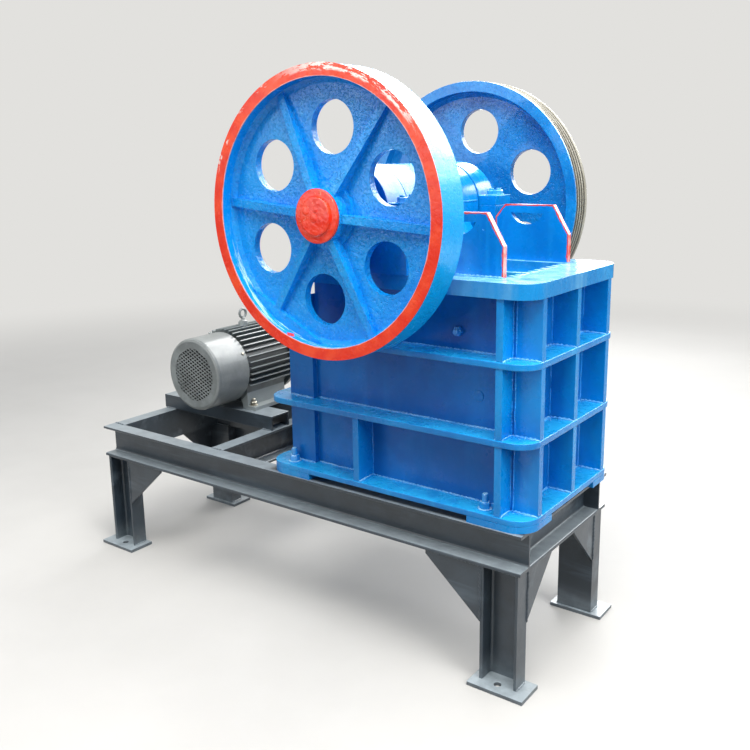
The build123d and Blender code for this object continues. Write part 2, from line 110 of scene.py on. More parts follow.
# Nodes of one tree: each from its type, its settings, and the values or links of its inputs
class NodeMaker:
    def __init__(self, tree):
        self.tree = tree
        self.tree.nodes.clear()

    def make(self, kind, settings=None, inputs=None):
        made = self.tree.nodes.new(kind)
        for key, value in (settings or {}).items():
            setattr(made, key, value)
        for key, value in (inputs or {}).items():
            self.put(made.inputs[key], value)
        return made

    def node(self, kind, settings=None, inputs=None):      # its outputs, by number and by name
        made = self.make(kind, settings, inputs)
        return {**{i: Wire(self, s) for i, s in enumerate(made.outputs)},
                **{s.name: Wire(self, s) for s in made.outputs if s.enabled}}

    def put(self, socket, value):
        if isinstance(value, Wire):
            self.tree.links.new(value.socket, socket)
        else:
            socket.default_value = value


# A finish: one shader, with patterns in Object coordinates; ny and up tell which way a face looks
class Finish(NodeMaker):
    def __init__(self, name):
        self.data = bpy.data.materials.new(name)
        self.data.use_nodes = True
        super().__init__(self.data.node_tree)
        self.shader = self.make("ShaderNodeBsdfPrincipled")
        self.surface = Wire(self, self.shader.outputs[0])
        self.out = self.make("ShaderNodeOutputMaterial", {}, {"Surface": self.surface})
        self.place = self.node("ShaderNodeTexCoord")["Object"]
        at = self.node("ShaderNodeSeparateXYZ", {}, {0: self.place})
        self.x, self.y, self.z = at[0], at[1], at[2]
        normal = self.node("ShaderNodeNewGeometry")["True Normal"]
        facing = self.node("ShaderNodeSeparateXYZ", {}, {0: normal})
        self.ny, self.up = facing[1], facing[2]

    def set(self, **values):         # the shader's inputs, their names with _ for a space
        for key, value in values.items():
            self.put(self.shader.inputs[key.replace("_", " ")], value)

    def fed(self, name):             # what feeds an input of the shader now
        return Wire(self, self.shader.inputs[name].links[0].from_socket)

    def noise(self, scale, detail=4.0, rough=0.55, stretch=(1, 1, 1), warp=0.0, at=None):
        point = self.node("ShaderNodeMapping", {}, {"Vector": at or self.place, "Scale": stretch})[0]
        inputs = {"Vector": point, "Scale": scale, "Detail": detail, "Roughness": rough, "Distortion": warp}
        return self.node("ShaderNodeTexNoise", {}, inputs)[0]

    def mix(self, part, first, second):
        colours = {0: part, 6: first, 7: second}
        return self.node("ShaderNodeMix", {"data_type": "RGBA", "clamp_factor": True}, colours)[2]

    def bump(self, height, depth, strength=1.0):
        inputs = {"Height": height, "Distance": depth, "Strength": strength}
        self.set(Normal=self.node("ShaderNodeBump", {}, inputs)[0])


def rgb(red, green, blue):           # screen colour, 0 to 255, as linear light
    def linear(v):
        v = v / 255
        return v / 12.92 if v <= 0.04045 else ((v + 0.055) / 1.055) ** 2.4
    return (linear(red), linear(green), linear(blue), 1.0)


# Glossy blue enamel, brushed on by hand over plates: streaks, runs, a few dull places; low on side faces a
# grey tone that is partly dull paint and partly a painted reflection of the floor; upward faces lighter as
# a painted highlight
enamel = {"base": rgb(3, 142, 220), "deep": rgb(2, 120, 200), "pale": rgb(40, 182, 242),
          "dullAndReflectedTone": rgb(26, 110, 172), "chip": rgb(70, 66, 64), "rough": 0.20, "shine": 0.34}
# Walls between the ribs: one thin coat over primer, and darker, partly for the thin coat and partly as
# painted shade of the recesses
shadedThinEnamel = {"base": rgb(6, 116, 196), "deep": rgb(4, 96, 174), "pale": rgb(24, 136, 214),
              "dullAndReflectedTone": rgb(22, 96, 160), "chip": rgb(66, 66, 68), "rough": 0.24, "shine": 0.25}
# The deck took the thickest coat; its lighter blue and near-white pale are a painted highlight of its lit
# top
litDeckEnamel = {"base": rgb(22, 152, 224), "deep": rgb(14, 138, 212), "pale": rgb(156, 224, 250),
              "dullAndReflectedTone": rgb(48, 140, 196), "chip": rgb(70, 66, 64), "rough": 0.18, "shine": 0.34}
# Welds and spatter take the paint thick and glossy; their lighter blue and near-white pale on upward faces
# are a painted highlight
litBeadEnamel = {"base": rgb(40, 160, 234), "deep": rgb(12, 134, 216), "pale": rgb(170, 228, 252),
              "dullAndReflectedTone": rgb(60, 140, 190), "chip": rgb(90, 120, 140), "rough": 0.12, "shine": 0.5}

def blueEnamel(name, tones=enamel, grain=150, wave=26):
    f = Finish(name)
    tone = f.noise(4.5, 5, 0.6)
    streak = f.noise(11.0, 3, 0.6, (1, 1, 0.14), 0.4)
    patch = f.noise(44.0, 4, 0.6)
    colour = f.mix(tone.rise(0.38, 0.62), tones["deep"], tones["base"])
    colour = f.mix(streak.rise(0.50, 0.74) * 0.35, colour, tones["pale"])
    colour = f.mix(patch.rise(0.58, 0.80) * 0.20, colour, tones["pale"])
    # painted reflection: low side faces greyed towards the floor's colour, partly dull paint as well
    dullAndFloorReflection = f.noise(6.0, 4, 0.6).rise(0.40, 0.66) * (1 - f.z.rise(0.50, 0.80)) * abs(f.ny).rise(0.6, 0.9)
    colour = f.mix(dullAndFloorReflection * 0.35, colour, tones["dullAndReflectedTone"])
    chips = f.noise(95.0, 6, 0.7).rise(0.750, 0.765) * f.noise(7.0, 2).rise(0.52, 0.62)
    colour = f.mix(chips, colour, tones["chip"])
    peel = f.noise(grain, 2, 0.5)
    swell = f.noise(wave, 3, 0.5)
    brush = f.noise(130.0, 2, 0.5, (1, 1, 0.10))
    runs = f.noise(60.0, 2, 0.5, (1, 1, 0.22)).rise(0.58, 0.80)
    # painted highlight: upward faces mixed towards the pale tone, as where light falls on them
    upwardHighlight = f.up.rise(0.6, 0.95) * (f.noise(15.0, 4, 0.6).rise(0.30, 0.60) * 0.6 + 0.3)
    colour = f.mix(upwardHighlight, colour, tones["pale"])
    f.bump(peel * 0.28 + swell * 0.70 + brush * 0.20 + runs * 0.22 - chips * 0.35, 0.0016, 0.75)
    f.set(Base_Color=colour, Metallic=0.0, Coat_Weight=tones["shine"] * 0.5, Coat_Roughness=0.08,
          Specular_IOR_Level=tones["shine"],
          Roughness=f.noise(24.0, 4).rise(0.3, 0.7) * 0.16 + tones["rough"] + dullAndFloorReflection * 0.18 + chips * 0.4)
    return f


# The shaft's axis and the two wheels, from their boxes; the V grooves are in the far wheel's rim
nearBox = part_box("flywheel_near")
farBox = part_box("flywheel_far")
shaftX = (nearBox[0].x + nearBox[1].x) / 2
shaftZ = (nearBox[0].z + nearBox[1].z) / 2
wheel = {"rim": (nearBox[1].x - nearBox[0].x) / 2, "rimThick": 0.029, "nearFace": nearBox[0].y,
         "farFace": farBox[1].y, "groovePitch": 0.015, "grooves": 4, "grooveEdge": 0.008,
         "grooveDeep": 0.011}
rimInside = wheel["rim"] - wheel["rimThick"]

def radiusFrom(f, x, z):             # how far from an axis that lies along Y
    across = f.x - x
    over = f.z - z
    return (across * across + over * over) ** 0.5


def wheelAngle(f):                   # turn round the shaft, 0 where level towards the jaw plates
    return (f.z - shaftZ).angle(f.x - shaftX)


def roundPlace(f, radius, angle):    # along the rim, out from the shaft, and across the rim
    return f.node("ShaderNodeCombineXYZ", {}, {0: angle * wheel["rim"], 1: radius, 2: f.y})[0]


# The two cast wheels: a sand-cast skin like orange peel under the enamel, fainter on the rims
cast = {"base": rgb(2, 148, 238), "light": rgb(12, 166, 248), "fleck": rgb(94, 200, 250),
        "pit": rgb(2, 114, 198), "rough": 0.15, "relief": 0.0024}
# The far wheel's copy is darker all over: painted shade of the wheel standing behind the near one
farCast = {"base": rgb(6, 118, 192), "light": rgb(20, 142, 214), "fleck": rgb(84, 186, 240),
           "pit": rgb(4, 92, 160), "rough": 0.17, "relief": 0.0016}

def wheelEnamel(name, tones):
    f = Finish(name)
    tone = f.noise(7.0, 5, 0.6)
    patch = f.noise(85.0, 4, 0.6)
    colour = f.mix(tone.rise(0.36, 0.66), tones["base"], tones["light"])
    colour = f.mix(patch.rise(0.54, 0.68) * 0.28, colour, tones["fleck"])
    skin = f.noise(112.0, 2, 0.5)
    wide = f.noise(16.0, 3, 0.5)
    pits = f.noise(190.0, 3, 0.6).rise(0.50, 0.68)
    colour = f.mix(pits * 0.30, colour, tones["pit"])
    web = 1 - radiusFrom(f, shaftX, shaftZ).rise(rimInside - 0.004, rimInside)
    f.bump((skin * 0.8 - pits * 0.5 + wide * 0.6) * (web * 0.7 + 0.3), tones["relief"], 0.9)
    f.set(Coat_Weight=0.15, Coat_Roughness=0.06, Specular_IOR_Level=0.35,
          Roughness=f.noise(33.0, 4).rise(0.3, 0.7) * 0.15 + tones["rough"])
    return f, colour


# Red face of the plain wheel's rim, worn on top with a painted glare there too, and splashed on the left; a
# painted highlight along the red's inner edge and a painted sheen of lighter cyan on the rim's outer face;
# low down, pale streaks on its inner edge as a painted highlight, and a blot on its inner and outer sides.
# Angles are in radians round the shaft
rimPaint = {"red": rgb(238, 48, 16), "orange": rgb(252, 80, 36), "worn": rgb(255, 244, 236),
            "outside": rgb(10, 176, 246), "streak": rgb(196, 240, 255), "blot": rgb(236, 62, 40),
            "top": (0.50, 0.80, 1.50, 2.00), "topRadii": (0.322, 0.328),
            "left": (1.6, 1.9, 2.7, 2.9), "leftRadii": (0.326, 0.334),
            "blotAngle": -1.92, "blotRadius": 0.30, "blotIn": 0.012, "blotSize": (0.011, 0.015)}

def nearWheelFinish():
    r = rimPaint
    f, colour = wheelEnamel("NearWheelEnamel", cast)
    radius = radiusFrom(f, shaftX, shaftZ)
    angle = wheelAngle(f)
    along = roundPlace(f, radius, angle)
    wobble = (f.noise(30.0, 4, 0.6, at=along) - 0.5) * 0.006
    uneven = radius + wobble
    face = 1 - f.y.rise(wheel["nearFace"] + 0.0012, wheel["nearFace"] + 0.0030)
    ring = face * uneven.rise(rimInside - 0.0026, rimInside - 0.0018)
    # painted highlight: a pale line along the red's inner edge
    innerEdgeHighlight = uneven.band(rimInside - 0.002, rimInside, rimInside + 0.0005, rimInside + 0.0022)
    # pale patches on top: partly real wear, partly a painted glare where light falls on the rim's top
    worn = f.noise(110.0, 5, 0.72, (0.24, 1, 1), at=along).rise(0.490, 0.505)
    top = angle.band(*r["top"]) * (radius + wobble * 2.5).rise(*r["topRadii"])
    left = angle.band(*r["left"]) * uneven.rise(*r["leftRadii"])
    speck = f.noise(64.0, 5, 0.7, (0.4, 1, 1), at=along).rise(0.56, 0.62)
    red = f.mix(f.noise(20.0, 4).rise(0.35, 0.7), r["red"], r["orange"])
    red = f.mix((worn * top).most(speck * left * 0.9).most(innerEdgeHighlight * 0.45), red, r["worn"])
    # painted sheen: the rim's outer face mixed to a lighter cyan
    outside = radius.rise(wheel["rim"] - 0.0030, wheel["rim"] - 0.0010)
    colour = f.mix(outside * 0.8, colour, r["outside"])
    # painted highlight: pale streaks on the lower inner rim where it catches the light
    bore = radius.band(rimInside - 0.0035, rimInside - 0.0020, rimInside + 0.0015, rimInside + 0.0020)
    low = (1 - angle.rise(-1.25, -0.85)).least(1 - f.z.rise(shaftZ - 0.20, shaftZ + 0.02))
    streak = f.noise(56.0, 5, 0.7, (0.14, 1, 2.0), at=along).rise(0.535, 0.560)
    colour = f.mix(bore * low * streak * 0.9, colour, r["streak"])
    away = abs((angle - r["blotAngle"]) * r["blotRadius"]) + abs(f.y - (wheel["nearFace"] + r["blotIn"]))
    blot = (1 - (away + wobble).rise(*r["blotSize"])) * radius.rise(0.280, 0.300) * (1 - face)
    colour = f.mix(ring, colour, red)
    f.set(Base_Color=f.mix(blot, colour, r["blot"]))
    return f


# Grooved rim of the far wheel: bare metal, a painted highlight on the crests and painted shade down in the
# grooves
bareRim = {"crest": (rgb(144, 140, 126), rgb(196, 192, 178)), "groove": (rgb(34, 32, 28), rgb(58, 54, 46))}

def farWheelFinish():
    w = wheel
    f, colour = wheelEnamel("FarWheelEnamel", farCast)
    radius = radiusFrom(f, shaftX, shaftZ)
    along = roundPlace(f, radius, wheelAngle(f))
    wobble = (f.noise(26.0, 4, 0.6, at=along) - 0.5) * 0.008
    start = w["farFace"] - w["grooveEdge"] - w["groovePitch"] * w["grooves"]
    bare = radius.rise(w["rim"] - w["grooveDeep"] - 0.0015, w["rim"] - w["grooveDeep"])
    bare = bare * (f.y + wobble).rise(start - 0.003, start - 0.001)
    bare = bare * (1 - f.y.rise(w["farFace"] - 0.0016, w["farFace"] - 0.0006))
    grain = f.noise(26.0, 5, 0.6, (0.25, 1, 1), at=along)
    crest = radius.rise(w["rim"] - 0.0045, w["rim"] - 0.0010)
    bright = f.mix(grain.rise(0.35, 0.7), *bareRim["crest"])
    metal = f.mix(crest, f.mix(grain.rise(0.3, 0.7), *bareRim["groove"]), bright)
    f.set(Base_Color=f.mix(bare, colour, metal), Coat_Weight=(1 - bare) * 0.3,
          Roughness=f.fed("Roughness") * (1 - bare) + bare * 0.5)
    return f


def redEnamel(name):
    f = Finish(name)
    tone = f.noise(22.0, 5, 0.6)
    colour = f.mix(tone.rise(0.35, 0.7), rgb(240, 42, 12), rgb(252, 70, 26))
    # painted highlight: pale spots on the raised dabs of paint
    dabs = f.noise(75.0, 4, 0.7).rise(0.62, 0.68)
    colour = f.mix(dabs * 0.5, colour, rgb(255, 180, 140))
    f.bump(f.noise(70.0, 2) + dabs * 0.4, 0.0014, 0.9)
    f.set(Base_Color=colour, Roughness=tone * 0.12 + 0.12, Coat_Weight=0.3, Coat_Roughness=0.05,
          Specular_IOR_Level=0.4)
    return f


# Cheek plates: blue, their outline painted red by hand with a narrow brush, above the hem
cheek = {"x0": 0.459, "x1": 0.670, "knee": 1.062, "top": 1.137, "slope": 0.044, "nose": 0.028,
         "drop": 0.033, "stripe": 0.0030, "hem": (0.9905, 0.9915)}

def cheekFinish():
    c = cheek
    f = blueEnamel("CheekEnamel")
    blue = f.fed("Base Color")
    rise = c["top"] - c["knee"]
    slope = math.hypot(rise, c["slope"])
    corner = math.hypot(c["nose"], c["drop"])
    fromFront = c["x1"] - f.x
    fromTop = c["top"] - f.z
    fromSlope = (fromFront * rise - (f.z - c["knee"]) * c["slope"]) / slope
    fromNose = ((f.x - c["x0"]) * c["drop"] - (f.z - (c["top"] - c["drop"])) * c["nose"]) / corner
    fromOutline = fromFront.least(fromTop).least(fromSlope).least(fromNose).least(f.x - c["x0"])
    wobble = (f.noise(60.0, 4) - 0.5) * 0.009
    stripe = 1 - (fromOutline + wobble).rise(c["stripe"], c["stripe"] + 0.0008)
    stripe = stripe * f.z.rise(*c["hem"])
    # painted highlight: the red on the plate's edge faces lightened towards pale pink
    across = 1 - abs(f.ny).rise(0.5, 0.7)
    light = f.noise(30.0, 4).rise(0.30, 0.62)
    red = f.mix(f.noise(34.0, 4).rise(0.4, 0.7), rgb(240, 60, 40), rgb(250, 104, 88))
    red = f.mix(across * light * 0.75, red, rgb(255, 208, 200))
    splash = f.noise(66.0, 4, 0.6).rise(0.675, 0.70) * (1 - f.y.rise(-0.15, -0.10))
    blue = f.mix(splash, blue, rgb(110, 200, 250))
    f.set(Base_Color=f.mix(stripe, blue, red))
    return f


# Fixed jaw plate: cast wear steel, its top end painted over with the deck
def jawFinish():
    f = castFinish("PaintedJawSteel")
    bare = f.fed("Base Color")
    edge = (f.noise(30.0, 4) - 0.5) * 0.08
    painted = (f.z + edge).rise(0.90, 0.92).most(f.up.rise(0.6, 0.8))
    paint = f.mix(f.noise(50.0, 4).rise(0.3, 0.7), enamel["base"], enamel["pale"])
    # painted highlight: upward faces, the teeth's tops, mixed towards near white
    paint = f.mix(f.up.rise(0.6, 0.8) * f.noise(80.0, 4).rise(0.35, 0.6), paint, rgb(190, 232, 250))
    f.set(Base_Color=f.mix(painted, bare, paint), Metallic=(1 - painted) * 0.6)
    return f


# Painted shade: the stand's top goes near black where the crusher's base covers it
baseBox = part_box("base_flange")
shadeUnderBase = {"x": baseBox[0].x, "half": baseBox[1].y, "z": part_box("stand_beam_near")[1].z,
                  "colour": rgb(14, 16, 18)}
primer = {"base": rgb(51, 63, 73), "deep": rgb(39, 49, 58), "pale": rgb(112, 128, 140),
          "dustAndSheen": rgb(182, 194, 200), "rust": rgb(110, 88, 72)}

def standPrimer(name):
    f = Finish(name)
    tone = f.noise(6.0, 6, 0.65)
    streak = f.noise(14.0, 4, 0.6, (0.14, 1, 1), 0.3)
    colour = f.mix(tone.rise(0.36, 0.66), primer["deep"], primer["base"])
    colour = f.mix(streak.rise(0.50, 0.72) * 0.4, colour, primer["pale"])
    rust = f.noise(26.0, 6, 0.7).rise(0.68, 0.74) * f.noise(5.0, 2).rise(0.54, 0.64)
    colour = f.mix(rust * 0.5, colour, primer["rust"])
    grime = f.noise(30.0, 6, 0.6)
    # upward faces lightened, partly real dust and partly a painted sheen; low down near the floor, dust
    dustAndSheen = f.up.rise(0.5, 0.95) * (grime.rise(0.25, 0.75) * 0.20 + 0.42)
    dustAndSheen = dustAndSheen + (1 - f.z.rise(0.0, 0.09)) * grime * 0.4
    colour = f.mix(dustAndSheen, colour, primer["dustAndSheen"])
    # painted shade under the crusher's base
    g = shadeUnderBase
    under = f.x.rise(g["x"] - 0.01, g["x"] + 0.01) * (1 - abs(f.y).rise(g["half"] - 0.012, g["half"]))
    under = under * f.z.rise(g["z"] - 0.003, g["z"] - 0.001) * f.up.rise(0.5, 0.9)
    colour = f.mix(under * 0.85, colour, g["colour"])
    mill = f.noise(210.0, 3, 0.6)
    f.bump(mill * 0.35 + f.noise(34.0, 4) * 0.7, 0.0011, 0.6)
    f.set(Base_Color=colour, Roughness=grime * 0.2 + 0.30 + dustAndSheen * 0.12, Metallic=0.0, Coat_Weight=0.25,
          Coat_Roughness=0.2)
    return f


def steelFinish(name, light=(176, 172, 164), dark=(112, 108, 102), rough=0.34):
    f = Finish(name)
    grain = f.noise(60.0, 5, 0.6)
    stain = f.noise(14.0, 5, 0.65)
    colour = f.mix(grain.rise(0.3, 0.7), rgb(*dark), rgb(*light))
    colour = f.mix(stain.rise(0.60, 0.74) * 0.5, colour, rgb(96, 78, 62))
    f.bump(grain, 0.0004, 0.5)
    f.set(Base_Color=colour, Metallic=stain.rise(0.55, 0.75) * -0.5 + 0.95, Roughness=grain * 0.2 + rough)
    return f


def castFinish(name):                # wear plates: dark cast steel
    f = Finish(name)
    skin = f.noise(120.0, 4, 0.65)
    worn = f.noise(18.0, 5, 0.6)
    colour = f.mix(worn.rise(0.4, 0.65), rgb(78, 72, 68), rgb(124, 118, 112))
    f.bump(skin * 0.6 + worn, 0.0014, 0.8)
    f.set(Base_Color=colour, Metallic=0.6, Roughness=skin * 0.25 + 0.42)
    return f


# The motor's axis, and the radii of its frame and of its fins' tips
motor = {"x": -0.485, "z": 0.590, "frame": 0.108, "fin": 0.129}

def motorEnamel(name, base=(102, 110, 110), pale=(166, 173, 172)):
    f = Finish(name)
    tone = f.noise(16.0, 5, 0.6)
    radius = radiusFrom(f, motor["x"], motor["z"])
    # painted highlight on the fins' tips, and painted shade down between the fins
    tip = radius.rise(motor["fin"] - 0.0045, motor["fin"] - 0.0015) * f.y.rise(0.030, 0.040)
    finGapShade = 1 - radius.rise(motor["frame"] - 0.004, motor["frame"] + 0.010)
    colour = f.mix(tone.rise(0.35, 0.65), rgb(*[v * 0.82 for v in base]), rgb(*base))
    colour = f.mix(tip * 0.8, colour, rgb(*pale))
    colour = f.mix(finGapShade * 0.45, colour, rgb(38, 42, 42))
    f.bump(f.noise(170.0, 3) * 0.5 + f.noise(40.0, 3) * 0.5, 0.0009, 0.6)
    f.set(Base_Color=colour, Roughness=tone * 0.2 + 0.34, Coat_Weight=0.15, Coat_Roughness=0.2)
    return f


def silverEnamel(name):
    f = Finish(name)
    tone = f.noise(12.0, 5, 0.6)
    smear = f.noise(20.0, 4, 0.6, (1, 0.3, 1))
    colour = f.mix(tone.rise(0.35, 0.7), rgb(124, 129, 128), rgb(146, 151, 150))
    colour = f.mix(smear.rise(0.60, 0.74) * 0.3, colour, rgb(102, 105, 102))
    f.bump(f.noise(190.0, 2) * 0.3 + tone * 0.5, 0.0008, 0.5)
    f.set(Base_Color=colour, Metallic=0.0, Roughness=smear * 0.2 + 0.30, Coat_Weight=0.25,
          Coat_Roughness=0.12)
    return f


def darkInside(name):                # the fan, in the shade behind its guard
    f = Finish(name)
    tone = f.noise(40.0, 3)
    f.set(Base_Color=f.mix(tone, rgb(16, 18, 18), rgb(30, 32, 32)), Roughness=tone * 0.2 + 0.6)
    return f


blue = blueEnamel("BlueEnamel")
blueWallShaded = blueEnamel("BlueEnamelThinShaded", shadedThinEnamel)
blueDeckLit = blueEnamel("BlueEnamelOnDeckLit", litDeckEnamel)
blueBeadLit = blueEnamel("BlueEnamelOnWeldsLit", litBeadEnamel, 220, 60)
red = redEnamel("RedEnamel")
stand = standPrimer("StandPrimer")
steel = steelFinish("TurnedSteel")
zinc = steelFinish("ZincedBolts", (196, 192, 180), (140, 136, 124), 0.30)
wear = castFinish("CastWearSteel")
motorPaint = motorEnamel("MotorEnamel")
silver = silverEnamel("SilverEnamel")
guardPaint = motorEnamel("GuardEnamel", (178, 186, 186), (196, 202, 200))
dark = darkInside("DarkInside")
slotFinish = {
    "blue_paint": blue, "stand_paint": stand, "bare_steel": steel, "jaw_steel": wear, "red_paint": red,
    "motor_paint": motorPaint, "cowl_paint": silver, "guard_paint": guardPaint,
}
jawPaint = jawFinish()
nodeFinish = {
    "flywheel_near": nearWheelFinish(), "flywheel_far": farWheelFinish(), "cheek_plates": cheekFinish(),
    "side_liners": jawPaint, "side_wall_near": blueWallShaded, "side_wall_far": blueWallShaded,
    "front_wall": blueWallShaded, "rear_wall": blueWallShaded, "deck_plate": blueDeckLit,
}
nodeSlot = {row["node"]: row["material_slot"] for row in frame["record"]["subparts"]}
for name, obj in nodes.items():
    finish = nodeFinish.get(name, slotFinish[nodeSlot[name]])
    obj.data.materials.clear()
    obj.data.materials.append(finish.data)
print("finishes:", len(bpy.data.materials))


def meshPiece(name, points, faces, finish, body, smooth=True):
    mesh = bpy.data.meshes.new(name)
    mesh.from_pydata(points.tolist(), [], faces)
    mesh.update()
    if smooth:
        mesh.polygons.foreach_set("use_smooth", [True] * len(mesh.polygons))
    obj = bpy.data.objects.new(name, mesh)
    bpy.context.collection.objects.link(obj)
    mesh.materials.append(finish.data)
    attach(obj, body)
    return obj


def sideVectors(axis):               # two directions square to an axis, and the axis at length 1
    axis = np.array(axis, float) / np.linalg.norm(axis)
    other = np.array([0, 0, 1.0]) if abs(axis[2]) < 0.9 else np.array([1.0, 0, 0])
    u = np.cross(other, axis)
    u /= np.linalg.norm(u)
    return u, np.cross(axis, u), axis


# Faces of a grid of rings, each ring joined to the next; capped at both ends or closed on itself
def ringFaces(rings, sides, closed=False):
    faces = []
    for k in range(rings if closed else rings - 1):
        a = k * sides
        b = ((k + 1) % rings) * sides
        faces += [(a + i, a + (i + 1) % sides, b + (i + 1) % sides, b + i) for i in range(sides)]
    if not closed:
        faces.append(tuple(range(sides))[::-1])
        faces.append(tuple(range((rings - 1) * sides, rings * sides)))
    return faces


def around(count):                   # angles evenly round a circle
    return np.linspace(0, 2 * math.pi, count, endpoint=False)


# Turned form: ring k has radius r[k] at height h[k] along the axis, each ring a circle of sides points
def turned(profile, centre, axis, sides=24, turn=0.0):
    u, v, w = sideVectors(axis)
    r = np.array([p[0] for p in profile])[:, None, None]
    h = np.array([p[1] for p in profile])[:, None, None]
    t = around(sides)[None, :, None] + turn
    points = np.array(centre) + r * (np.cos(t) * u + np.sin(t) * v) + h * w
    return points.reshape(-1, 3), ringFaces(len(profile), sides)


def joined(shapes):                  # several (points, faces) as one
    points = []
    faces = []
    start = 0
    for p, f in shapes:
        points.append(p)
        faces += [tuple(i + start for i in face) for face in f]
        start += len(p)
    return np.concatenate(points), faces


# Tube: circles carried along a path; at each point the circle lies square to the path
def tube(path, radius, sides=8, closed=False):
    path = np.array(path, float)
    count = len(path)
    radius = np.broadcast_to(np.asarray(radius, float), (count,))
    step = (np.roll(path, -1, 0) - np.roll(path, 1, 0)) if closed else np.gradient(path, axis=0)
    step /= np.linalg.norm(step, axis=1)[:, None]
    helper = np.where(np.abs(step[:, 2:3]) < 0.9, np.array([[0, 0, 1.0]]), np.array([[1.0, 0, 0]]))
    u = np.cross(helper, step)
    u /= np.linalg.norm(u, axis=1)[:, None]
    v = np.cross(step, u)
    t = around(sides)
    ring = np.cos(t)[None, :, None] * u[:, None, :] + np.sin(t)[None, :, None] * v[:, None, :]
    points = (path[:, None, :] + radius[:, None, None] * ring).reshape(-1, 3)
    return points, ringFaces(count, sides, closed)


# Weld beads and their spatter: radii fine and floor on the body, stand on the stand; crumbs lie near
# the bead within about close, wide or cornerWide, and by a rib's corner along cornerLong
bead = {"fine": 0.0018, "floor": 0.0043, "stand": 0.0034, "step": 0.0036, "ripple": 0.24, "rough": 0.09,
        "wander": 0.0026, "sides": 7, "crumb": 0.0036, "crumbPitch": 0.009, "close": 0.004, "wide": 0.006,
        "cornerWide": 0.007, "cornerLong": 0.03}
rng = np.random.default_rng(11)

# Bead: a tube sunk in the corner, its radius rippling like a sine along its length, thin at its ends
def beadLine(start, end, radius):
    start = np.array(start, float)
    end = np.array(end, float)
    count = max(4, int(np.linalg.norm(end - start) / bead["step"]))
    s = np.linspace(0, 1, count)[:, None]
    path = start + (end - start) * s
    soft = np.convolve(rng.normal(size=count + 8), np.ones(9) / 9, "valid")[:count]
    aside = sideVectors(end - start)[0]
    path = path + soft[:, None] * bead["wander"] * aside
    ripple = 1 + bead["ripple"] * np.sin(np.arange(count) * 2.1) + rng.normal(size=count) * bead["rough"]
    taper = np.minimum(1, np.minimum(np.arange(count) + 1.0, np.arange(count)[::-1] + 1.0) / 2.5)
    return tube(path, radius * ripple * taper, bead["sides"])


# Crumb of spatter: an octahedron with each corner pushed in or out a little
def crumb(centre, size):
    tips = np.array([(1, 0, 0), (0, 1, 0), (-1, 0, 0), (0, -1, 0), (0, 0, 1), (0, 0, -1)], float)
    reach = size * rng.uniform(0.6, 1.3, (6, 1))
    faces = [(0, 1, 4), (1, 2, 4), (2, 3, 4), (3, 0, 4), (1, 0, 5), (2, 1, 5), (3, 2, 5), (0, 3, 5)]
    return np.array(centre) + tips * reach, faces


def crumbLine(start, end, outward, spread):
    start = np.array(start, float)
    end = np.array(end, float)
    count = max(1, int(np.linalg.norm(end - start) / bead["crumbPitch"]))
    shapes = []
    for s in rng.uniform(0, 1, count):
        away = np.array(outward, float) * abs(rng.normal()) * spread
        shapes.append(crumb(start + (end - start) * s + away, bead["crumb"] * rng.uniform(0.5, 1.1)))
    return shapes


def corners(node):                   # a CAD piece's box at rest, each side by its name
    low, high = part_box(node)
    return {"x0": low[0], "y0": low[1], "z0": low[2], "x1": high[0], "y1": high[1], "z1": high[2]}


base = corners("base_flange")
band1 = corners("lower_band_flange")
band2 = corners("upper_band_flange")
deck = corners("deck_plate")
frontWall = corners("front_wall")
rearWall = corners("rear_wall")
cheekBox = corners("cheek_plates")
frontRib = corners("front_ribs")
sideRib = corners("side_ribs")

# The body as the beads follow it: half widths of its walls, and where its ribs start and end along X
body = {"wall": cheekBox["y1"], "side": frontWall["y1"], "block": corners("side_wall_far")["y1"],
        "blockLong": 0.083, "ribHalf": 0.010, "ribWide": 0.018}
body["blockFront"] = rearWall["x0"] + body["blockLong"]
body["endRib"] = (sideRib["x1"] - body["ribWide"], sideRib["x1"])
body["midRib"] = (sideRib["x0"], sideRib["x0"] + body["ribWide"])

# Barrel of the swing jaw, with one seam along its front; the angle is up from level
barrel = {"radius": 0.115, "half": 0.164, "seam": math.radians(7)}

